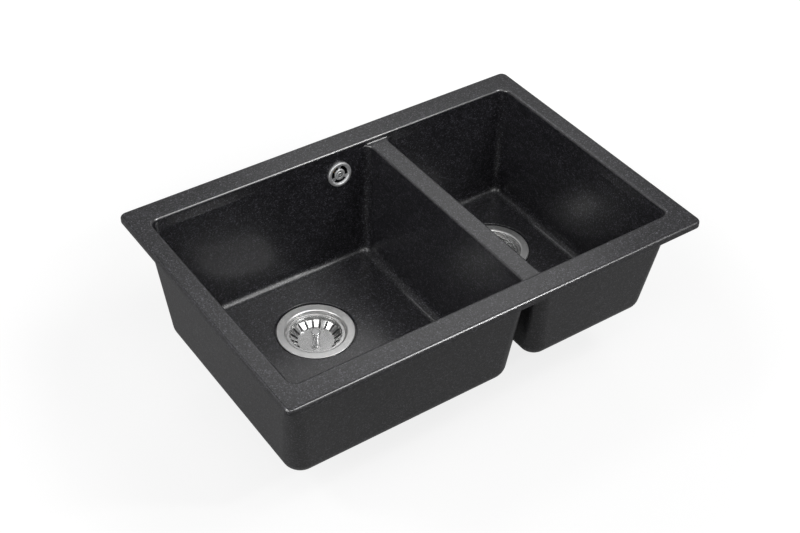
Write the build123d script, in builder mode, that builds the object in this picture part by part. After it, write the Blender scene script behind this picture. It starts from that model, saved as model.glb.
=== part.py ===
"""Double bowl drop-in kitchen sink in granite composite, with its wastes and overflow.

Millimetres, +X right, +Y back, +Z up. The origin is the centre of the rim's underside,
which rests on the worktop. The large bowl is on the left, the small one on the right.
"""

import os
from math import atan2, cos, pi, radians, sin, tan
from typing import NamedTuple

from build123d import *

os.makedirs("parts", exist_ok=True)

# Rim
RIM_LENGTH = 650
RIM_WIDTH = 440
RIM_THICKNESS = 10
RIM_CORNER_RADIUS = 10
RIM_TOP_ROUNDING = 4
RIM_BOTTOM_ROUNDING = 1
RIM_COLLAR = 3
SIDE_RIM = 28
LONG_RIM = 38

# Bowls: each wall is upright down to the bend and leans in below it
WALL = 8
WALL_BEND = -10
MOUTH_RADIUS = 12
FLOOR_CORNER_RADIUS = 18
FLOOR_ROUNDING = 15
INNER_DRAFTS = (4.5, 4.5, 7.5, 5.5)
OUTER_MOUTH_RADIUS = 18
OUTER_FLOOR_ROUNDING = 25

# Divider between the bowls
DIVIDER_LEFT = 51
DIVIDER_RIGHT = 81
DIVIDER_TOP = 2
DIVIDER_ROUNDING = 3
DIVIDER_REACH = 21

# Drain seat in each floor
DRAIN_Y = 53
DRAIN_HOLE_RADIUS = 45
SEAT_RADIUS = 58
SEAT_DEPTH = 3.5
SEAT_ROUNDING = 1.5

# Overflow in the back wall of the large bowl
OVERFLOW_Z = -30
OVERFLOW_HOLE_RADIUS = 14

# Strainer cup, in pressed sheet; heights are measured from the bowl's floor
SHEET = 1
FLANGE_RADIUS = 56
FLANGE_TOP = -1
FLANGE_LIP = -3.2
CUP_RADIUS = 42
LEDGE_HEIGHT = -7.2
LEDGE_RADIUS = 38.6
CONE_TOP = -12.5
NECK_RADIUS = 30.5
NECK_HEIGHT = -34
CUP_FLOOR = -40
CUP_HOLE_COUNT = 6
CUP_HOLE_CIRCLE = 18
CUP_HOLE_RADIUS = 5.5
GASKET_BORE = 46.5

# Waste body below the floor
BODY_FLANGE_TOP = -10.5
BODY_FLANGE_BOTTOM = -15
BODY_WALL_RADIUS = 47
BODY_BORE = 44.5
BODY_FLOOR = -48
SPIGOT_RADIUS = 23.9
SPIGOT_BORE = 19.5
SPIGOT_TOP = -58
SPIGOT_END = -85
BOSS_RADIUS = 9
BOSS_TOP = -42
BOSS_BOTTOM = -66
WEB = 2.4

# Clamp screw M8, its brass insert and the screw's hollow for the basket's pin
SCREW_RADIUS = 4
SCREW_HEAD_RADIUS = 8
SCREW_HEAD_TOP = -36.2
SCREW_END = -62
INSERT_RADIUS = 6
INSERT_LENGTH = 14
PIN_RADIUS = 2.4
PIN_GUIDE_RADIUS = 2.7
PIN_END = -43.5
PIN_GUIDE_END = -45

# Basket: rim on the ledge, upright collar, slotted slope and flat floor
BASKET_SHEET = 0.8
BASKET_LIFT_GAP = 0.3
BASKET_RADIUS = 41.2
COLLAR_RADIUS = 37.2
COLLAR_BOTTOM = -12.6
BASKET_FLOOR_RADIUS = 27.2
BASKET_FLOOR = -19.6
SLOT_COUNT = 20
SLOT_FIRST_ANGLE = 12
SLOT_WIDTH = 3.2
SLOT_INNER_RADIUS = 25.6
SLOT_OUTER_RADIUS = 36.1

# Knob, rubber stopper and the nut below it
KNOB_TOP = -3.4
KNOB_BOTTOM = -6.6
KNOB_RADIUS = 6.7
STEM_TOP = -8
STEM_RADIUS = 4.6
STOPPER_SLEEVE_RADIUS = 9
STOPPER_TOP = -29.2
STOPPER_BOTTOM = -32
STOPPER_CLEARANCE = 0.4
STOPPER_NUT_FLAT_RADIUS = 4
STOPPER_NUT_HEIGHT = 3.4

# Overflow rosette and its screw; heights are measured from the wall's face
ROSETTE_RADIUS = 19
ROSETTE_DISH_RADIUS = 15
ROSETTE_RIM_HEIGHT = 3.6
ROSETTE_DISH_HEIGHT = 1.4
ROSETTE_BACK = 0.2
HUB_RADIUS = 8
HUB_HEIGHT = 2.6
HUB_RECESS_RADIUS = 5
HUB_RECESS_HEIGHT = 1.2
ARC_COUNT = 3
ARC_FIRST_ANGLE = 30
ARC_HALF_SPREAD = 48
ARC_INNER_RADIUS = 8.6
ARC_OUTER_RADIUS = 13.4
ROSETTE_SCREW_RADIUS = 2.5
ROSETTE_SCREW_END = -24
ROSETTE_SCREW_HEAD_RADIUS = 4.4
ROSETTE_SCREW_HEAD_TOP = 3.2
HEX_SOCKET_RADIUS = 1.7
HEX_SOCKET_DEPTH = 1.6

# Overflow elbow behind the wall
GASKET_THICKNESS = 2
ELBOW_FLANGE_RADIUS = 22.5
ELBOW_FLANGE_THICKNESS = 3
HOUSING_RADIUS = 17
HOUSING_BORE = 14.5
HOUSING_LENGTH = 26
HOUSING_END_WALL = 2.5
ELBOW_BOSS_RADIUS = 5
ELBOW_WEB_LENGTH = 20
ELBOW_WEB = 2
ELBOW_INSERT_RADIUS = 3.6
ELBOW_INSERT_LENGTH = 12

# Overflow pipe and its two compression joints
PIPE_BEHIND_WALL = 22
SOCKET_DROP = 16
PIPE_RADIUS = 9
PIPE_BORE = 7.5
SOCKET_RADIUS = 11.5
SOCKET_BORE = 9.2
SOCKET_LENGTH = 18
NUT_RADIUS = 15
NUT_LENGTH = 15
NUT_CAP = 2.5
NUT_CHAMFER = 0.6
NUT_FLUTES = 12
FLUTE_RADIUS = 2
SEAL_LENGTH = 3
PIPE_BEND_RADIUS = 45
INLET_HEIGHT = -33
INLET_SOCKET_START = 50

RIM_SIDES = (-RIM_LENGTH / 2, RIM_LENGTH / 2, -RIM_WIDTH / 2, RIM_WIDTH / 2)
OPENING = (
    RIM_SIDES[0] + SIDE_RIM,
    RIM_SIDES[1] - SIDE_RIM,
    RIM_SIDES[2] + LONG_RIM,
    RIM_SIDES[3] - LONG_RIM,
)


class Bowl(NamedTuple):
    """A bowl: its mouth's sides, the depth of its floor and the shape of its outside."""

    name: str
    sides: tuple
    depth: float
    drain_x: float
    outer_drafts: tuple
    outer_corner_radius: float

    @property
    def floor(self):
        """Height of the floor."""
        return RIM_THICKNESS - self.depth

    @property
    def drain(self):
        """Plane on the floor, at the drain's centre."""
        return Plane((self.drain_x, DRAIN_Y, self.floor))


LARGE = Bowl(
    "large", (OPENING[0], DIVIDER_LEFT, OPENING[2], OPENING[3]), 185, -122, (4.8, 0.3, 8.2, 5.5), 28
)
SMALL = Bowl(
    "small", (DIVIDER_RIGHT, OPENING[1], OPENING[2], OPENING[3]), 175, 189, (4.9, 3.5, 8.2, 5.5), 26
)
BOWLS = (LARGE, SMALL)


def plan(sides, radius, height):
    """Rounded rectangle at a height, from its left, right, front and back sides."""
    left, right, front, back = sides
    with BuildSketch(Plane.XY.offset(height)) as outline:
        with Locations(((left + right) / 2, (front + back) / 2)):
            RectangleRounded(right - left, back - front, radius)
    return outline.sketch


def grown(sides, distance):
    """The same four sides, moved outwards."""
    left, right, front, back = sides
    return left - distance, right + distance, front - distance, back + distance


def leaned(sides, drafts, drop):
    """The same four sides after the walls lean in by their drafts over a drop."""
    insets = [drop * tan(radians(angle)) for angle in drafts]
    left, right, front, back = sides
    return left + insets[0], right - insets[1], front + insets[2], back - insets[3]


def tub(sides, drafts, top, bottom, top_radius, bottom_radius, edge_rounding):
    """Solid with upright walls to the bend, leaning walls below it and a rounded bottom."""
    foot = leaned(sides, drafts, WALL_BEND - bottom)
    with BuildPart() as solid:
        extrude(plan(sides, top_radius, WALL_BEND), amount=top - WALL_BEND)
        loft([plan(sides, top_radius, WALL_BEND), plan(foot, bottom_radius, bottom)], ruled=True)
        fillet(solid.edges().group_by(Axis.Z)[0], edge_rounding)
    return solid.part


def turn(points, radii, seat):
    """Turn a closed profile of (radius, height) points, with rounded corners, about a seat's normal."""
    with BuildSketch(Plane(seat.origin, x_dir=seat.x_dir, z_dir=-seat.y_dir)) as profile:
        with BuildLine():
            FilletPolyline(points, radius=radii, close=True)
        make_face()
    revolve(profile.sketch, axis=Axis(seat.origin, seat.z_dir))


def tube(seat, bottom, top, outer, inner=0):
    """Straight tube, or rod, along a seat's normal."""
    with BuildSketch(seat.offset(bottom)) as ring:
        Circle(outer)
        if inner:
            Circle(inner, mode=Mode.SUBTRACT)
    extrude(ring.sketch, amount=top - bottom)


def bore(seat, bottom, top, radius):
    """Round hole along a seat's normal."""
    with BuildSketch(seat.offset(bottom)) as disc:
        Circle(radius)
    extrude(disc.sketch, amount=top - bottom, mode=Mode.SUBTRACT)


def save(builder, name):
    """Label a finished piece and write it."""
    builder.part.label = name
    export_step(builder.part, f"parts/{name}.step")


# Inner face of the back wall at the overflow, its normal pointing into the bowl
BACK_DRAFT = radians(INNER_DRAFTS[3])
OVERFLOW_Y = OPENING[3] - (WALL_BEND - OVERFLOW_Z) * tan(BACK_DRAFT)
ROSETTE_SEAT = Plane(
    (0, OVERFLOW_Y, OVERFLOW_Z), x_dir=(1, 0, 0), z_dir=(0, -cos(BACK_DRAFT), sin(BACK_DRAFT))
)
WALL_THROUGH = WALL * cos(BACK_DRAFT)
PIPE_Y = OVERFLOW_Y + PIPE_BEHIND_WALL

# ---------------------------------------------------------------- sink casting

# Rim: a plate with a collar below it, which the two tubs carry on downwards
rim_height = RIM_THICKNESS + RIM_COLLAR
with BuildPart() as rim:
    extrude(plan(RIM_SIDES, RIM_CORNER_RADIUS, 0), amount=RIM_THICKNESS)
    fillet(rim.edges().group_by(Axis.Z)[0], RIM_BOTTOM_ROUNDING)
    for bowl in BOWLS:
        extrude(plan(grown(bowl.sides, WALL), OUTER_MOUTH_RADIUS, 0), amount=-RIM_COLLAR)
    extrude(plan(OPENING, MOUTH_RADIUS, -RIM_COLLAR), amount=rim_height, mode=Mode.SUBTRACT)
    fillet(rim.edges().group_by(Axis.Z)[-1], RIM_TOP_ROUNDING)
save(rim, "sink_rim")

# Divider: a bar between the two mouths, flared at both ends round their corners
divider_left = DIVIDER_LEFT - DIVIDER_REACH
divider_length = DIVIDER_RIGHT + DIVIDER_REACH - divider_left
divider_height = DIVIDER_TOP - WALL_BEND
with BuildPart() as divider:
    extrude(plan(grown(OPENING, LONG_RIM), MOUTH_RADIUS, WALL_BEND), amount=divider_height)
    for bowl in BOWLS:
        mouth = plan(bowl.sides, MOUTH_RADIUS, WALL_BEND)
        extrude(mouth, amount=divider_height, mode=Mode.SUBTRACT)
    fillet(divider.edges().group_by(Axis.Z)[-1], DIVIDER_ROUNDING)
    with BuildSketch(Plane.XY.offset(WALL_BEND)) as reach:
        with Locations((divider_left, OPENING[2])):
            Rectangle(divider_length, OPENING[3] - OPENING[2], align=Align.MIN)
    extrude(reach.sketch, amount=divider_height, mode=Mode.INTERSECT)

# Concave bead where the divider's top runs into the rim's front and back
with BuildPart() as beads:
    for y, outer_side, inward in ((OPENING[2], Align.MIN, 1), (OPENING[3], Align.MAX, -1)):
        with BuildSketch(Plane.YZ.offset(divider_left)) as bead:
            with Locations((y, DIVIDER_TOP)):
                Rectangle(DIVIDER_ROUNDING, DIVIDER_ROUNDING, align=(outer_side, Align.MIN))
            with Locations((y + inward * DIVIDER_ROUNDING, DIVIDER_TOP + DIVIDER_ROUNDING)):
                Circle(DIVIDER_ROUNDING, mode=Mode.SUBTRACT)
        extrude(bead.sketch, amount=divider_length)
    for bowl in BOWLS:
        clear = plan(grown(bowl.sides, DIVIDER_ROUNDING), MOUTH_RADIUS + DIVIDER_ROUNDING, 0)
        extrude(clear, amount=RIM_THICKNESS, mode=Mode.SUBTRACT)
with divider:
    add(beads.part)
save(divider, "sink_divider")

for bowl in BOWLS:
    outside = tub(
        grown(bowl.sides, WALL),
        bowl.outer_drafts,
        -RIM_COLLAR,
        bowl.floor - WALL,
        OUTER_MOUTH_RADIUS,
        bowl.outer_corner_radius,
        OUTER_FLOOR_ROUNDING,
    )
    inside = tub(
        bowl.sides,
        INNER_DRAFTS,
        WALL_BEND + 1,
        bowl.floor,
        MOUTH_RADIUS,
        FLOOR_CORNER_RADIUS,
        FLOOR_ROUNDING,
    )
    with BuildPart() as shell:
        add(outside)
        extrude(plan(OPENING, MOUTH_RADIUS, WALL_BEND), amount=-WALL_BEND, mode=Mode.SUBTRACT)
        add(inside, mode=Mode.SUBTRACT)
        bore(bowl.drain, -SEAT_DEPTH, 1, SEAT_RADIUS)
        bore(bowl.drain, -WALL - 1, 0, DRAIN_HOLE_RADIUS)
        lips = shell.edges().filter_by(GeomType.CIRCLE)
        lips = lips.filter_by(lambda edge: abs(edge.radius - SEAT_RADIUS) < 0.01)
        fillet(lips.group_by(Axis.Z)[-1], SEAT_ROUNDING)
        if bowl is LARGE:
            bore(ROSETTE_SEAT, -WALL_THROUGH - 4, 4, OVERFLOW_HOLE_RADIUS)
    save(shell, f"{bowl.name}_bowl")

# ---------------------------------------------------------------- strainer wastes

flange_under = FLANGE_TOP - SHEET
basket_rim_under = LEDGE_HEIGHT + BASKET_LIFT_GAP
basket_under = BASKET_FLOOR - BASKET_SHEET
cone_slope = (LEDGE_RADIUS - NECK_RADIUS) / (CONE_TOP - NECK_HEIGHT)

for bowl in BOWLS:
    seat = bowl.drain

    # Pressed cup: flat flange, rolled lip, ledge for the basket, cone and neck
    with BuildPart() as strainer_cup:
        turn(
            [
                (FLANGE_RADIUS, FLANGE_LIP),
                (FLANGE_RADIUS, FLANGE_TOP),
                (CUP_RADIUS, FLANGE_TOP),
                (CUP_RADIUS, LEDGE_HEIGHT),
                (LEDGE_RADIUS, LEDGE_HEIGHT),
                (LEDGE_RADIUS, CONE_TOP),
                (NECK_RADIUS, NECK_HEIGHT),
                (NECK_RADIUS, CUP_FLOOR),
                (0, CUP_FLOOR),
                (0, CUP_FLOOR - SHEET),
                (NECK_RADIUS + SHEET, CUP_FLOOR - SHEET),
                (NECK_RADIUS + SHEET, NECK_HEIGHT),
                (LEDGE_RADIUS + SHEET, CONE_TOP),
                (LEDGE_RADIUS + SHEET, LEDGE_HEIGHT - SHEET),
                (CUP_RADIUS + SHEET, LEDGE_HEIGHT - SHEET),
                (CUP_RADIUS + SHEET, flange_under),
                (FLANGE_RADIUS - SHEET, flange_under),
                (FLANGE_RADIUS - SHEET, FLANGE_LIP),
            ],
            [0.3, 1.2, 4, 0.4, 1, 2, 2, 1.5, 0, 0, 2.5, 1, 1, 0.2, 1.4, 3, 0.3, 0.3],
            seat,
        )
        with BuildSketch(seat.offset(CUP_FLOOR - SHEET)) as cup_holes:
            Circle(SCREW_RADIUS + 0.3)
            with PolarLocations(CUP_HOLE_CIRCLE, CUP_HOLE_COUNT):
                Circle(CUP_HOLE_RADIUS)
        extrude(cup_holes.sketch, amount=SHEET, mode=Mode.SUBTRACT)
    save(strainer_cup, f"{bowl.name}_strainer_cup")

    with BuildPart() as top_gasket:
        tube(seat, -SEAT_DEPTH, flange_under, FLANGE_RADIUS - SHEET - 0.4, GASKET_BORE)
    save(top_gasket, f"{bowl.name}_top_gasket")

    with BuildPart() as lower_gasket:
        tube(seat, BODY_FLANGE_TOP, -WALL, FLANGE_RADIUS, GASKET_BORE)
    save(lower_gasket, f"{bowl.name}_lower_gasket")

    # Moulded waste body: clamped flange, chamber, outlet spigot and a boss on crossed webs
    with BuildPart() as waste_body:
        turn(
            [
                (BODY_BORE, BODY_FLANGE_TOP),
                (BODY_BORE, BODY_FLOOR),
                (SPIGOT_BORE, SPIGOT_TOP + 2),
                (SPIGOT_BORE, SPIGOT_END),
                (SPIGOT_RADIUS, SPIGOT_END),
                (SPIGOT_RADIUS, SPIGOT_TOP - 2),
                (BODY_WALL_RADIUS, BODY_FLOOR - 2),
                (BODY_WALL_RADIUS, BODY_FLANGE_BOTTOM),
                (FLANGE_RADIUS, BODY_FLANGE_BOTTOM),
                (FLANGE_RADIUS, BODY_FLANGE_TOP),
            ],
            [0, 4, 1.5, 0.5, 0.8, 2, 5, 1.5, 1, 0.6],
            seat,
        )
        with BuildSketch(seat.offset(BOSS_BOTTOM)) as webs:
            with PolarLocations(0, 2, 0, 180):
                Rectangle(2 * SPIGOT_BORE + 1, WEB)
        extrude(webs.sketch, amount=SPIGOT_TOP - BOSS_BOTTOM)
        tube(seat, BOSS_BOTTOM, BOSS_TOP, BOSS_RADIUS)
        bore(seat, BOSS_TOP - INSERT_LENGTH, BOSS_TOP, INSERT_RADIUS)
        bore(seat, SCREW_END - 1, BOSS_TOP, SCREW_RADIUS + 0.4)
        if bowl is LARGE:
            toward_pipe = atan2(PIPE_Y - DRAIN_Y, -LARGE.drain_x)
            inlet = Plane(
                seat.origin + Vector(0, 0, INLET_HEIGHT),
                x_dir=(0, 0, 1),
                z_dir=(cos(toward_pipe), sin(toward_pipe), 0),
            )
            bore(inlet, BODY_BORE - 8, INLET_SOCKET_START, PIPE_BORE)
    save(waste_body, f"{bowl.name}_waste_body")

    with BuildPart() as insert_nut:
        tube(seat, BOSS_TOP - INSERT_LENGTH, BOSS_TOP, INSERT_RADIUS, SCREW_RADIUS)
    save(insert_nut, f"{bowl.name}_insert_nut")

    # Clamp screw: domed head in the cup, hollow for the basket's pin
    with BuildPart() as clamp_screw:
        turn(
            [
                (PIN_GUIDE_RADIUS, PIN_GUIDE_END),
                (PIN_GUIDE_RADIUS, SCREW_HEAD_TOP),
                (SCREW_HEAD_RADIUS, SCREW_HEAD_TOP),
                (SCREW_HEAD_RADIUS, CUP_FLOOR),
                (SCREW_RADIUS, CUP_FLOOR),
                (SCREW_RADIUS, SCREW_END),
                (0, SCREW_END),
                (0, PIN_GUIDE_END),
            ],
            [0, 0.4, 2, 0.3, 0, 0.8, 0, 0],
            seat,
        )
    save(clamp_screw, f"{bowl.name}_clamp_screw")

    # Basket: flat rim on the ledge, upright collar, slotted slope and flat floor
    with BuildPart() as basket:
        turn(
            [
                (PIN_GUIDE_RADIUS, BASKET_FLOOR),
                (BASKET_FLOOR_RADIUS, BASKET_FLOOR),
                (COLLAR_RADIUS - BASKET_SHEET, COLLAR_BOTTOM),
                (COLLAR_RADIUS - BASKET_SHEET, basket_rim_under + BASKET_SHEET),
                (BASKET_RADIUS, basket_rim_under + BASKET_SHEET),
                (BASKET_RADIUS, basket_rim_under),
                (COLLAR_RADIUS, basket_rim_under),
                (COLLAR_RADIUS, COLLAR_BOTTOM - BASKET_SHEET / 2),
                (BASKET_FLOOR_RADIUS + BASKET_SHEET / 2, basket_under),
                (PIN_GUIDE_RADIUS, basket_under),
            ],
            [0, 1.5, 1.5, 1.2, 0.3, 0.3, 0.4, 2, 2, 0],
            seat,
        )
        slot_circle = (SLOT_INNER_RADIUS + SLOT_OUTER_RADIUS) / 2
        with BuildSketch(seat.offset(basket_under - 1)) as slots:
            with PolarLocations(slot_circle, SLOT_COUNT, SLOT_FIRST_ANGLE):
                SlotOverall(SLOT_OUTER_RADIUS - SLOT_INNER_RADIUS, SLOT_WIDTH)
        extrude(slots.sketch, until=Until.LAST, mode=Mode.SUBTRACT)
    save(basket, f"{bowl.name}_basket")

    # Mushroom knob with its stem and the pin that guides the basket
    with BuildPart() as knob:
        turn(
            [
                (0, KNOB_TOP),
                (KNOB_RADIUS, KNOB_TOP),
                (KNOB_RADIUS, KNOB_BOTTOM),
                (STEM_RADIUS, STEM_TOP),
                (STEM_RADIUS, BASKET_FLOOR),
                (PIN_RADIUS, BASKET_FLOOR),
                (PIN_RADIUS, PIN_END),
                (0, PIN_END),
            ],
            [0, 1.4, 1.2, 1, 0.2, 0, 0.8, 0],
            seat,
        )
    save(knob, f"{bowl.name}_knob")

    # Rubber stopper, just clear of the cup's cone
    edge_top, edge_bottom = (
        LEDGE_RADIUS - (CONE_TOP - height) * cone_slope - STOPPER_CLEARANCE
        for height in (STOPPER_TOP, STOPPER_BOTTOM)
    )
    with BuildPart() as stopper:
        turn(
            [
                (PIN_RADIUS, basket_under),
                (STOPPER_SLEEVE_RADIUS, basket_under),
                (STOPPER_SLEEVE_RADIUS, STOPPER_TOP),
                (edge_top, STOPPER_TOP),
                (edge_bottom, STOPPER_BOTTOM),
                (PIN_RADIUS, STOPPER_BOTTOM),
            ],
            [0, 1, 2, 0.6, 0.6, 0],
            seat,
        )
    save(stopper, f"{bowl.name}_stopper")

    with BuildPart() as stopper_nut:
        with BuildSketch(seat.offset(STOPPER_BOTTOM - STOPPER_NUT_HEIGHT)) as hexagon:
            RegularPolygon(STOPPER_NUT_FLAT_RADIUS, 6, major_radius=False)
            Circle(PIN_RADIUS, mode=Mode.SUBTRACT)
        extrude(hexagon.sketch, amount=STOPPER_NUT_HEIGHT)
    save(stopper_nut, f"{bowl.name}_stopper_nut")

# Spout on the large waste body that takes the overflow pipe
inlet_end = INLET_SOCKET_START + SOCKET_LENGTH
with BuildPart() as overflow_inlet:
    tube(inlet, 0, inlet_end, SOCKET_RADIUS)
    bore(LARGE.drain, INLET_HEIGHT - SOCKET_RADIUS, INLET_HEIGHT + SOCKET_RADIUS, BODY_WALL_RADIUS)
    bore(inlet, INLET_SOCKET_START, inlet_end, SOCKET_BORE)
    bore(inlet, 0, INLET_SOCKET_START, PIPE_BORE)
save(overflow_inlet, "overflow_inlet")

# ---------------------------------------------------------------- overflow

wall_back = -WALL_THROUGH
gasket_back = wall_back - GASKET_THICKNESS
housing_end = gasket_back - HOUSING_LENGTH
boss_top = gasket_back - 1
insert_bottom = boss_top - ELBOW_INSERT_LENGTH
socket_top = OVERFLOW_Z - SOCKET_DROP
socket_end = socket_top - SOCKET_LENGTH
outlet = Plane((0, PIPE_Y, 0))

with BuildPart() as rosette:
    turn(
        [
            (ROSETTE_SCREW_RADIUS + 0.3, ROSETTE_BACK),
            (ROSETTE_SCREW_RADIUS + 0.3, HUB_RECESS_HEIGHT),
            (HUB_RECESS_RADIUS, HUB_RECESS_HEIGHT),
            (HUB_RECESS_RADIUS, HUB_HEIGHT),
            (HUB_RADIUS, HUB_HEIGHT),
            (HUB_RADIUS, ROSETTE_DISH_HEIGHT),
            (ROSETTE_DISH_RADIUS - 0.8, ROSETTE_DISH_HEIGHT),
            (ROSETTE_DISH_RADIUS, ROSETTE_RIM_HEIGHT),
            (ROSETTE_RADIUS, ROSETTE_RIM_HEIGHT),
            (ROSETTE_RADIUS, 0),
            (ROSETTE_DISH_RADIUS + 0.5, 0),
            (ROSETTE_DISH_RADIUS, ROSETTE_BACK),
        ],
        [0, 0, 0, 0.4, 0.8, 0.2, 0.6, 1.2, 1.9, 0, 0, 0],
        ROSETTE_SEAT,
    )
    with BuildSketch(ROSETTE_SEAT) as grille:
        for arc in range(ARC_COUNT):
            start = ARC_FIRST_ANGLE + arc * 360 / ARC_COUNT - ARC_HALF_SPREAD
            with BuildLine():
                outer_arc = CenterArc((0, 0), ARC_OUTER_RADIUS, start, 2 * ARC_HALF_SPREAD)
                inner_arc = CenterArc((0, 0), ARC_INNER_RADIUS, start, 2 * ARC_HALF_SPREAD)
                Line(outer_arc @ 0, inner_arc @ 0)
                Line(outer_arc @ 1, inner_arc @ 1)
            make_face()
    extrude(grille.sketch, amount=ROSETTE_RIM_HEIGHT, mode=Mode.SUBTRACT)
save(rosette, "overflow_rosette")

with BuildPart() as rosette_screw:
    turn(
        [
            (0, ROSETTE_SCREW_END),
            (ROSETTE_SCREW_RADIUS, ROSETTE_SCREW_END),
            (ROSETTE_SCREW_RADIUS, HUB_RECESS_HEIGHT),
            (ROSETTE_SCREW_HEAD_RADIUS, HUB_RECESS_HEIGHT),
            (ROSETTE_SCREW_HEAD_RADIUS, ROSETTE_SCREW_HEAD_TOP),
            (0, ROSETTE_SCREW_HEAD_TOP),
        ],
        [0, 0.6, 0, 0.2, 1.4, 0],
        ROSETTE_SEAT,
    )
    with BuildSketch(ROSETTE_SEAT.offset(ROSETTE_SCREW_HEAD_TOP - HEX_SOCKET_DEPTH)) as hex_socket:
        RegularPolygon(HEX_SOCKET_RADIUS, 6)
    extrude(hex_socket.sketch, amount=HEX_SOCKET_DEPTH, mode=Mode.SUBTRACT)
save(rosette_screw, "overflow_rosette_screw")

with BuildPart() as overflow_gasket:
    tube(ROSETTE_SEAT, gasket_back, wall_back, ELBOW_FLANGE_RADIUS - 0.5, OVERFLOW_HOLE_RADIUS + 1)
save(overflow_gasket, "overflow_gasket")

# Elbow: flange on the back wall, shallow housing with a webbed boss, socket pointing down
with BuildPart() as overflow_elbow:
    tube(ROSETTE_SEAT, housing_end, gasket_back, HOUSING_RADIUS)
    tube(outlet, socket_end, OVERFLOW_Z, SOCKET_RADIUS)
    bore(ROSETTE_SEAT, housing_end + HOUSING_END_WALL, gasket_back, HOUSING_BORE)
    tube(
        ROSETTE_SEAT,
        gasket_back - ELBOW_FLANGE_THICKNESS,
        gasket_back,
        ELBOW_FLANGE_RADIUS,
        HOUSING_BORE,
    )
    bore(outlet, socket_end, socket_top, SOCKET_BORE)
    bore(outlet, socket_top, OVERFLOW_Z, PIPE_BORE)
    tube(ROSETTE_SEAT, housing_end, boss_top, ELBOW_BOSS_RADIUS)
    with BuildSketch(ROSETTE_SEAT.offset(housing_end)) as boss_webs:
        with PolarLocations((ELBOW_BOSS_RADIUS + HOUSING_BORE) / 2, 3, 30, 120, endpoint=True):
            Rectangle(HOUSING_BORE - ELBOW_BOSS_RADIUS + 3, ELBOW_WEB)
    extrude(boss_webs.sketch, amount=ELBOW_WEB_LENGTH)
    bore(ROSETTE_SEAT, insert_bottom, boss_top, ELBOW_INSERT_RADIUS)
    bore(ROSETTE_SEAT, ROSETTE_SCREW_END - 0.5, boss_top, ROSETTE_SCREW_RADIUS + 0.3)
save(overflow_elbow, "overflow_elbow")

with BuildPart() as elbow_insert:
    tube(ROSETTE_SEAT, insert_bottom, boss_top, ELBOW_INSERT_RADIUS, ROSETTE_SCREW_RADIUS)
save(elbow_insert, "overflow_elbow_insert")

# Pipe from the elbow's socket down behind the bowl and across to the large waste body
pipe_corner = Vector(0, PIPE_Y, inlet.origin.Z)
pipe_top = Vector(0, PIPE_Y, socket_top)
pipe_foot = inlet.origin + inlet.z_dir * INLET_SOCKET_START
with BuildPart() as overflow_pipe:
    with BuildLine() as route:
        FilletPolyline(pipe_top, pipe_corner, pipe_foot, radius=PIPE_BEND_RADIUS)
    with BuildSketch(Plane(pipe_top, z_dir=(0, 0, -1))) as section:
        Circle(PIPE_RADIUS)
        Circle(PIPE_BORE, mode=Mode.SUBTRACT)
    sweep(section.sketch, path=route.line)
save(overflow_pipe, "overflow_pipe")

# Compression joints: a seal on the socket's end, held by a fluted nut
joints = {
    "upper": Plane((0, PIPE_Y, socket_end), z_dir=(0, 0, -1)),
    "lower": inlet.offset(inlet_end),
}
nut_end = SEAL_LENGTH + NUT_CAP
nut_start = nut_end - NUT_LENGTH
for place, end in joints.items():
    with BuildPart() as pipe_seal:
        tube(end, 0, SEAL_LENGTH, SOCKET_RADIUS, PIPE_RADIUS)
    save(pipe_seal, f"{place}_pipe_seal")

    with BuildPart() as pipe_nut:
        tube(end, nut_start, nut_end, NUT_RADIUS)
        chamfer(pipe_nut.edges(), NUT_CHAMFER)
        bore(end, nut_start, SEAL_LENGTH, SOCKET_RADIUS)
        bore(end, SEAL_LENGTH, nut_end, SOCKET_BORE)
        with BuildSketch(end.offset(nut_start)) as flutes:
            with PolarLocations(NUT_RADIUS + FLUTE_RADIUS / 2, NUT_FLUTES):
                Circle(FLUTE_RADIUS)
        extrude(flutes.sketch, amount=NUT_LENGTH, mode=Mode.SUBTRACT)
    save(pipe_nut, f"{place}_pipe_nut")

route_length = sum(edge.length for edge in route.edges())
pipe_section = pi * (PIPE_RADIUS**2 - PIPE_BORE**2)
expected = round(route_length * pipe_section)
print("overflow pipe volume", round(overflow_pipe.part.volume), "expected", expected)
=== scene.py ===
"""Looks for the double bowl kitchen sink: stone, metal, rubber and plastic."""

from math import radians

import bpy
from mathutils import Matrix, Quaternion, Vector


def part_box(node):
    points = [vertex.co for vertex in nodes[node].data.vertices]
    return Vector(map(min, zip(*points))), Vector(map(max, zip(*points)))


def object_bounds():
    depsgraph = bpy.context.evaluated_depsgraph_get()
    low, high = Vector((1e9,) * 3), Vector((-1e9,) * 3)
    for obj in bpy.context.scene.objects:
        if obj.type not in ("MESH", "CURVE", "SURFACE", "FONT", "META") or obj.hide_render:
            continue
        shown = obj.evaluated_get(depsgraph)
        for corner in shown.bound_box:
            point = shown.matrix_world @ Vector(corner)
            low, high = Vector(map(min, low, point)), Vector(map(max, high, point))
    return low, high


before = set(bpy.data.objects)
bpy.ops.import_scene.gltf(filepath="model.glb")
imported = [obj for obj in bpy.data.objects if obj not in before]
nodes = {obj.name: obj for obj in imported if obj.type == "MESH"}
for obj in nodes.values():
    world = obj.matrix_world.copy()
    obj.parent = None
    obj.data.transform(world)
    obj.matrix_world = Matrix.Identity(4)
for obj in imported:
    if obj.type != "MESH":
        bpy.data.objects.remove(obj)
cad_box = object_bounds()

MM = 0.001
BOWLS = ("large", "small")
WHITE = (1, 1, 1, 1)

# ---------------- places from the frame


def centre_of(node):
    """Middle of a node's box."""
    low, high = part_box(node)
    return (low + high) / 2


DRAINS = {name: centre_of(f"{name}_lower_gasket") for name in BOWLS}
FLOOR_GAP = 2 * MM
FLOOR_Z = cad_box[0].z - FLOOR_GAP

# ---------------- shader helpers


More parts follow.
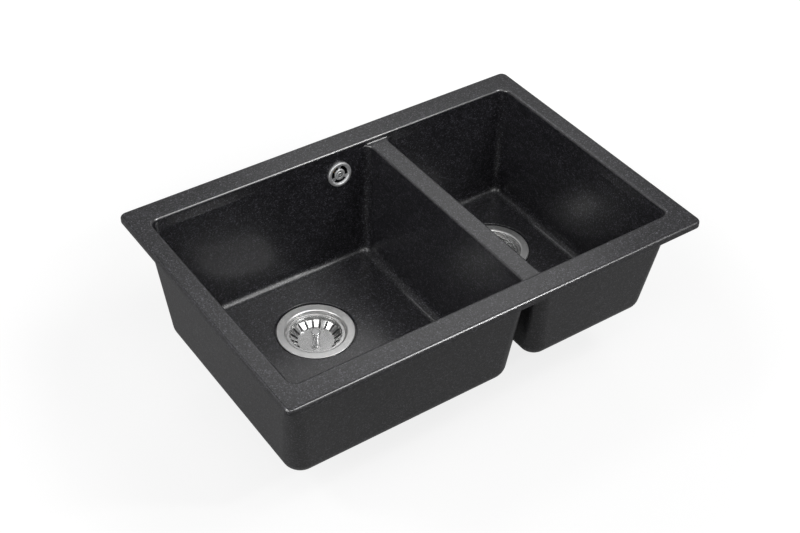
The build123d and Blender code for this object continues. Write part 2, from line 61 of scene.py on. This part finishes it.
class Nodes:
    """A node tree, with short calls for adding, linking and arithmetic."""

    def __init__(self, tree):
        self.tree = tree

    def add(self, kind, **settings):
        """A new node with its settings."""
        node = self.tree.nodes.new(kind)
        for key, value in settings.items():
            setattr(node, key, value)
        return node

    def feed(self, socket, value):
        """Link an output to a socket, or set the socket to a number or colour."""
        if isinstance(value, bpy.types.NodeSocket):
            self.tree.links.new(value, socket)
        else:
            socket.default_value = value

    def fill(self, node, **values):
        """Feed a node's inputs, with _ for the spaces in their names."""
        for key, value in values.items():
            self.feed(node.inputs[key.replace("_", " ")], value)
        return node

    def math(self, operation, first, second):
        """One arithmetic step."""
        node = self.add("ShaderNodeMath", operation=operation)
        self.feed(node.inputs[0], first)
        self.feed(node.inputs[1], second)
        return node.outputs[0]

    def rays(self):
        """Two values: 1 for rays that the camera sees, and 1 for glossy rays."""
        path = self.add("ShaderNodeLightPath").outputs
        seen = self.math("MAXIMUM", path["Is Camera Ray"], path["Is Transmission Ray"])
        return seen, path["Is Glossy Ray"]


class Shader(Nodes):
    """A material's node tree, with short calls for what the finishes share."""

    def __init__(self, name):
        self.material = bpy.data.materials.new(name)
        self.material.use_nodes = True
        super().__init__(self.material.node_tree)
        self.principled = self.tree.nodes["Principled BSDF"]
        self.place = self.add("ShaderNodeTexCoord").outputs["Object"]

    def finish(self, **values):
        """Feed the principled shader's inputs, and give the material."""
        self.fill(self.principled, **values)
        return self.material

    def noise(self, scale, detail, roughness=0.5, distortion=0.0):
        """Noise at a scale in cells per metre."""
        node = self.fill(
            self.add("ShaderNodeTexNoise"),
            Vector=self.place,
            Scale=scale,
            Detail=detail,
            Roughness=roughness,
            Distortion=distortion,
        )
        return node.outputs["Fac"]

    def rings(self, radius, per_metre, detail):
        """Noise that depends on the radius alone: the marks of a lathe."""
        node = self.fill(
            self.add("ShaderNodeTexNoise", noise_dimensions="1D"),
            W=self.math("MULTIPLY", radius, per_metre),
            Scale=1.0,
            Detail=detail,
        )
        return node.outputs["Fac"]

    def grains(self, scale):
        """Random grey for each grain of stone, at a scale in grains per metre."""
        node = self.fill(
            self.add("ShaderNodeTexVoronoi"), Vector=self.place, Scale=scale
        )
        colour = self.add("ShaderNodeSeparateColor")
        return self.fill(colour, Color=node.outputs["Color"]).outputs["Red"]

    def ramp(self, value, *stops):
        """Straight ramp between (position, grey or colour) stops."""
        node = self.fill(self.add("ShaderNodeValToRGB"), Fac=value)
        elements = node.color_ramp.elements
        while len(elements) < len(stops):
            elements.new(position=0.5)
        for element, (position, colour) in zip(elements, stops):
            rgb = colour if isinstance(colour, tuple) else (colour,) * 3
            element.position = position
            element.color = (*rgb, 1)
        return node.outputs["Color"]

    def scale_range(self, value, low, high):
        """A 0 to 1 value stretched to a range."""
        return self.math("ADD", self.math("MULTIPLY", value, high - low), low)

    def mix(self, factor, first, second):
        """Mix of two numbers."""
        node = self.fill(self.add("ShaderNodeMix"), Factor=factor, A=first, B=second)
        return node.outputs["Result"]

    def product(self, first, second):
        """Product of two colours."""
        node = self.add("ShaderNodeMix", data_type="RGBA", blend_type="MULTIPLY")
        return self.fill(node, Factor=1.0, A=first, B=second).outputs["Result"]

    def bump(self, height, distance, strength, normal=None):
        """Normal from a height of 0 to 1 that stands for a distance in metres."""
        node = self.add("ShaderNodeBump")
        self.fill(node, Height=height, Distance=distance, Strength=strength)
        if normal is not None:
            self.fill(node, Normal=normal)
        return node.outputs["Normal"]

    def upward(self, vector):
        """The Z part of a vector."""
        node = self.fill(self.add("ShaderNodeSeparateXYZ"), Vector=vector)
        return node.outputs["Z"]

    def upper_rounding(self, lowest):
        """1 on rounded upper edges above a height, and 0 on level or upright faces."""
        slope = self.upward(self.add("ShaderNodeNewGeometry").outputs["Normal"])
        rounded = self.ramp(slope, (0.1, 0.0), (0.35, 1.0), (0.88, 1.0), (0.97, 0.0))
        above = self.math("GREATER_THAN", self.upward(self.place), lowest)
        return self.math("MULTIPLY", rounded, above)

    def vector_math(self, operation, *values):
        """One step of vector arithmetic, as the node's outputs."""
        node = self.add("ShaderNodeVectorMath", operation=operation)
        for socket, value in zip(node.inputs, values):
            self.feed(socket, value)
        return node.outputs

    def around(self, centre):
        """Distance in metres from an upright axis through a centre."""
        moved = self.vector_math("SUBTRACT", self.place, centre)["Vector"]
        level = self.vector_math("MULTIPLY", moved, (1, 1, 0))["Vector"]
        return self.vector_math("LENGTH", level)["Value"]


def tinted(grey, red, green, blue):
    """Colour near a grey, from a factor for each channel."""
    return (grey * red, grey * green, grey * blue)


# ---------------- finishes

RUBBED_ABOVE = -3 * MM
RUBBED_ROUGHNESS = 0.3
STONE_IOR, RUBBED_IOR = 1.5, 2.15
PIT_STRENGTH, GRAIN_STRENGTH, RUBBED_STRENGTH = 0.6, 0.5, 0.0


def composite():
    """Charcoal granite composite: crushed stone in resin, under a thin clear skin.

    The rounded upper edges are taken as rubbed smooth, which makes them shine.
    """
    s = Shader("granite_composite")
    tone = s.grains(scale=720)
    stone = s.ramp(
        tone,
        (0.0, (0.003, 0.003, 0.0035)),
        (0.45, (0.0115, 0.0113, 0.0134)),
        (0.85, (0.038, 0.0373, 0.044)),
        (1.0, (0.11, 0.108, 0.125)),
    )
    fine = s.grains(scale=1700)
    specks = s.ramp(
        fine, (0.0, 0.45), (0.15, 0.8), (0.55, 1.0), (0.93, 1.2), (1.0, 2.4)
    )
    broad = s.math("MULTIPLY", s.noise(scale=9, detail=3), 0.6)
    drift = s.math("MULTIPLY", s.noise(scale=60, detail=4), 0.4)
    cloud = s.ramp(s.math("ADD", broad, drift), (0.3, 0.9), (0.7, 1.08))
    rough = s.scale_range(s.noise(scale=620, detail=3), low=0.28, high=0.5)
    edge = s.upper_rounding(RUBBED_ABOVE)
    pits = s.bump(
        s.noise(scale=400, detail=2),
        distance=0.11 * MM,
        strength=s.mix(edge, PIT_STRENGTH, RUBBED_STRENGTH),
    )
    skin = s.bump(
        tone,
        distance=0.05 * MM,
        strength=s.mix(edge, GRAIN_STRENGTH, RUBBED_STRENGTH),
        normal=pits,
    )
    return s.finish(
        Base_Color=s.product(s.product(stone, specks), cloud),
        Roughness=s.mix(edge, rough, RUBBED_ROUGHNESS),
        Normal=skin,
        IOR=s.mix(edge, STONE_IOR, RUBBED_IOR),
        Coat_Weight=0.8,
        Coat_Roughness=0.2,
        Coat_IOR=1.5,
        Coat_Normal=skin,
    )


def turned_steel(name, centre, grey, rough):
    """Stainless steel with concentric lathe marks round a centre."""
    s = Shader(name)
    radius = s.around(centre)
    lines = s.rings(radius, per_metre=5200, detail=3)
    bands = s.rings(radius, per_metre=600, detail=2)
    smudge = s.noise(scale=70, detail=4, roughness=0.6)
    tint = s.ramp(
        smudge,
        (0.3, tinted(grey, 0.92, 0.92, 0.92)),
        (0.7, tinted(grey, 1.04, 1.035, 1.02)),
    )
    grime = s.math("MULTIPLY", smudge, 0.06)
    uneven = s.bump(s.noise(scale=420, detail=2), distance=0.01 * MM, strength=0.3)
    return s.finish(
        Base_Color=tint,
        Metallic=1.0,
        Roughness=s.math("ADD", s.scale_range(bands, *rough), grime),
        Normal=s.bump(lines, distance=0.006 * MM, strength=0.6, normal=uneven),
        Anisotropic=0.35,
    )


def pressed_steel(name, grey, rough):
    """Bright pressed sheet, slightly uneven from the die, with fine scratches."""
    s = Shader(name)
    waves = s.noise(scale=130, detail=2)
    scratch = s.noise(scale=900, detail=5, roughness=0.7, distortion=0.6)
    tint = s.ramp(
        s.noise(scale=45, detail=3),
        (0.3, tinted(grey, 0.94, 0.94, 0.94)),
        (0.7, tinted(grey, 1.05, 1.05, 1.04)),
    )
    scratches = s.bump(scratch, distance=0.004 * MM, strength=0.5)
    return s.finish(
        Base_Color=tint,
        Metallic=1.0,
        Roughness=s.scale_range(scratch, *rough),
        Normal=s.bump(waves, distance=0.04 * MM, strength=0.3, normal=scratches),
    )


def chrome(name, grey, rough):
    """Chrome plating with faint water marks and wiping haze."""
    s = Shader(name)
    haze = s.noise(scale=220, detail=5, roughness=0.65)
    marks = s.ramp(s.noise(scale=650, detail=2), (0.62, 0.0), (0.72, 1.0))
    tint = s.ramp(
        haze,
        (0.3, tinted(grey, 0.96, 0.97, 0.98)),
        (0.7, tinted(grey, 1.03, 1.03, 1.03)),
    )
    dried = s.math("MULTIPLY", marks, 0.05)
    return s.finish(
        Base_Color=tint,
        Metallic=1.0,
        Roughness=s.math("ADD", s.scale_range(haze, *rough), dried),
        Normal=s.bump(haze, distance=0.01 * MM, strength=0.3),
    )


def brass():
    """Machined brass, dulled in patches."""
    s = Shader("machined_brass")
    dull = s.noise(scale=500, detail=4, roughness=0.6)
    grain = s.noise(scale=1800, detail=2)
    tint = s.ramp(
        dull,
        (0.3, (0.44, 0.29, 0.11)),
        (0.55, (0.66, 0.46, 0.19)),
        (0.75, (0.76, 0.57, 0.27)),
    )
    return s.finish(
        Base_Color=tint,
        Metallic=1.0,
        Roughness=s.scale_range(dull, low=0.25, high=0.45),
        Normal=s.bump(grain, distance=0.02 * MM, strength=0.5),
    )


def rubber():
    """Black moulded rubber with bloom."""
    s = Shader("seal_rubber")
    bloom = s.noise(scale=160, detail=5, roughness=0.6)
    grain = s.noise(scale=1500, detail=3)
    return s.finish(
        Base_Color=s.ramp(
            bloom, (0.3, (0.012, 0.012, 0.012)), (0.75, (0.032, 0.032, 0.033))
        ),
        Roughness=s.scale_range(bloom, low=0.55, high=0.8),
        Normal=s.bump(grain, distance=0.04 * MM, strength=0.5),
    )


def moulded_plastic(name, dark, pale, rough, grain_scale):
    """Injection-moulded plastic with a spark-eroded grain and slight flow marks."""
    s = Shader(name)
    flow = s.noise(scale=38, detail=3, distortion=1.2)
    grain = s.noise(grain_scale, detail=3, roughness=0.6)
    return s.finish(
        Base_Color=s.ramp(flow, (0.3, dark), (0.7, pale)),
        Roughness=s.scale_range(s.noise(scale=300, detail=3), *rough),
        Normal=s.bump(grain, distance=0.03 * MM, strength=0.6),
    )


def dress(node, material):
    """Give a frame node one finish."""
    mesh = nodes[node].data
    mesh.materials.clear()
    mesh.materials.append(material)


COMPOSITE = composite()
CHROME = chrome("chrome_plating", grey=0.78, rough=(0.04, 0.14))
BRASS = brass()
RUBBER = rubber()
SCREW_STEEL = pressed_steel("screw_steel", grey=0.58, rough=(0.2, 0.34))
WASTE_PLASTIC = moulded_plastic(
    "waste_plastic",
    dark=(0.026, 0.026, 0.027),
    pale=(0.042, 0.042, 0.044),
    rough=(0.34, 0.5),
    grain_scale=900,
)
PIPE_PLASTIC = moulded_plastic(
    "pipe_plastic",
    dark=(0.20, 0.205, 0.21),
    pale=(0.235, 0.24, 0.245),
    rough=(0.28, 0.4),
    grain_scale=500,
)

for part in ("sink_rim", "sink_divider", "large_bowl", "small_bowl"):
    dress(part, COMPOSITE)
for bowl in BOWLS:
    cup_steel = turned_steel(
        f"{bowl}_cup_steel", DRAINS[bowl], grey=0.98, rough=(0.32, 0.44)
    )
    dress(f"{bowl}_strainer_cup", cup_steel)
    basket_steel = pressed_steel(f"{bowl}_basket_steel", grey=0.82, rough=(0.2, 0.32))
    dress(f"{bowl}_basket", basket_steel)
    dress(f"{bowl}_knob", CHROME)
    dress(f"{bowl}_stopper", RUBBER)
    dress(f"{bowl}_stopper_nut", SCREW_STEEL)
    dress(f"{bowl}_clamp_screw", SCREW_STEEL)
    dress(f"{bowl}_insert_nut", BRASS)
    dress(f"{bowl}_top_gasket", RUBBER)
    dress(f"{bowl}_lower_gasket", RUBBER)
    dress(f"{bowl}_waste_body", WASTE_PLASTIC)
dress("overflow_rosette", chrome("satin_chrome", grey=0.97, rough=(0.5, 0.66)))
dress(
    "overflow_rosette_screw",
    pressed_steel("rosette_screw_steel", grey=0.9, rough=(0.36, 0.48)),
)
dress("overflow_gasket", RUBBER)
dress("overflow_elbow", WASTE_PLASTIC)
dress("overflow_inlet", WASTE_PLASTIC)
dress("overflow_elbow_insert", BRASS)
dress("overflow_pipe", PIPE_PLASTIC)
for place in ("upper", "lower"):
    dress(f"{place}_pipe_nut", WASTE_PLASTIC)
    dress(f"{place}_pipe_seal", RUBBER)

# ---------------- stage, light and camera

FLOOR_SIZE = 16
FLOOR_COLOUR = (0.26, 0.26, 0.26, 1)
FLOOR_IN_MIRRORS = 0.05
GLOW_NEAR, GLOW_FAR = (0.5, 0.81), (1.0, 1.0)  # metres from the middle, strength


def white_floor():
    """Floor that the camera sees as white, apart from the object's shadow."""
    s = Shader("studio_floor")
    seen, glossy = s.rays()
    shown = s.math("MULTIPLY", seen, s.ramp(s.around((0, 0, 0)), GLOW_NEAR, GLOW_FAR))
    mirrored = s.math("MULTIPLY", glossy, FLOOR_IN_MIRRORS)
    return s.finish(
        Base_Color=FLOOR_COLOUR,
        Roughness=0.9,
        Emission_Color=WHITE,
        Emission_Strength=s.math("MAXIMUM", shown, mirrored),
        Specular_IOR_Level=0.0,
    )


def plane(name, size, z):
    """Level square sheet."""
    half = size / 2
    mesh = bpy.data.meshes.new(name)
    corners = [(-half, -half, z), (half, -half, z), (half, half, z), (-half, half, z)]
    mesh.from_pydata(corners, [], [(0, 1, 2, 3)])
    sheet = bpy.data.objects.new(name, mesh)
    bpy.context.scene.collection.objects.link(sheet)
    return sheet


floor = plane("studio_floor", FLOOR_SIZE, FLOOR_Z)
floor.data.materials.append(white_floor())


def softbox(name, place, aim, size, power):
    """Rectangular area lamp aimed at a point."""
    lamp = bpy.data.lights.new(name, "AREA")
    lamp.shape = "RECTANGLE"
    lamp.size, lamp.size_y = size
    lamp.energy = power
    holder = bpy.data.objects.new(name, lamp)
    holder.location = place
    holder.rotation_mode = "QUATERNION"
    holder.rotation_quaternion = (Vector(aim) - Vector(place)).to_track_quat("-Z", "Y")
    bpy.context.scene.collection.objects.link(holder)


# name, place, aim and size in metres, power in watts
LAMPS = (
    ("key", (0.75, -0.9, 1.9), (0, 0, -0.05), (0.8, 0.8), 11.5),
    ("front", (1.02, -1.4, 1.36), (0, 0, -0.05), (0.2, 0.2), 9),
    ("front left", (-0.6, -1.0, 2.0), (0, 0, -0.05), (1.0, 0.8), 7.5),
    ("left", (-1.9, -0.35, 1.0), (0, 0, -0.1), (1.4, 0.9), 11),
    ("left high", (-1.7, 0.5, 1.9), (0, 0, -0.1), (0.5, 0.5), 10),
    ("back right", (1.3, 1.7, 2.0), (0.05, -0.05, 0), (1.2, 0.9), 4.4),
    ("back", (0.14, 1.45, 1.75), (0, 0, 0), (0.35, 0.3), 1.0),
)
for lamp_name, lamp_place, lamp_aim, lamp_size, lamp_power in LAMPS:
    softbox(lamp_name, lamp_place, lamp_aim, lamp_size, lamp_power)


def sky(lit, mirrored):
    """White world: full strength to the camera, lower for light and for reflections."""
    world = bpy.data.worlds.new("studio")
    world.use_nodes = True
    bpy.context.scene.world = world
    s = Nodes(world.node_tree)
    seen, glossy = s.rays()
    level = s.math("ADD", s.math("MULTIPLY", glossy, mirrored - lit), lit)
    background = s.tree.nodes["Background"]
    s.fill(background, Color=WHITE, Strength=s.math("MAXIMUM", seen, level))


sky(lit=0.08, mirrored=0.2)

CAMERA_PLACE = Vector((-0.8785, -1.2112, 1.1924))
CAMERA_AIM = Vector((-0.0637, -0.0660, 0.0))
CAMERA_ROLL = radians(1.467)
LENS, SENSOR_WIDTH = 63.98, 36  # millimetres, as Blender counts them

camera = bpy.data.cameras.new("camera")
camera.lens = LENS
camera.sensor_width = SENSOR_WIDTH
viewer = bpy.data.objects.new("camera", camera)
viewer.location = CAMERA_PLACE
viewer.rotation_mode = "QUATERNION"
unrolled = (CAMERA_AIM - CAMERA_PLACE).to_track_quat("-Z", "Y")
viewer.rotation_quaternion = unrolled @ Quaternion((0, 0, 1), CAMERA_ROLL)
bpy.context.scene.collection.objects.link(viewer)
bpy.context.scene.camera = viewer
bpy.context.scene.view_settings.view_transform = "Standard"
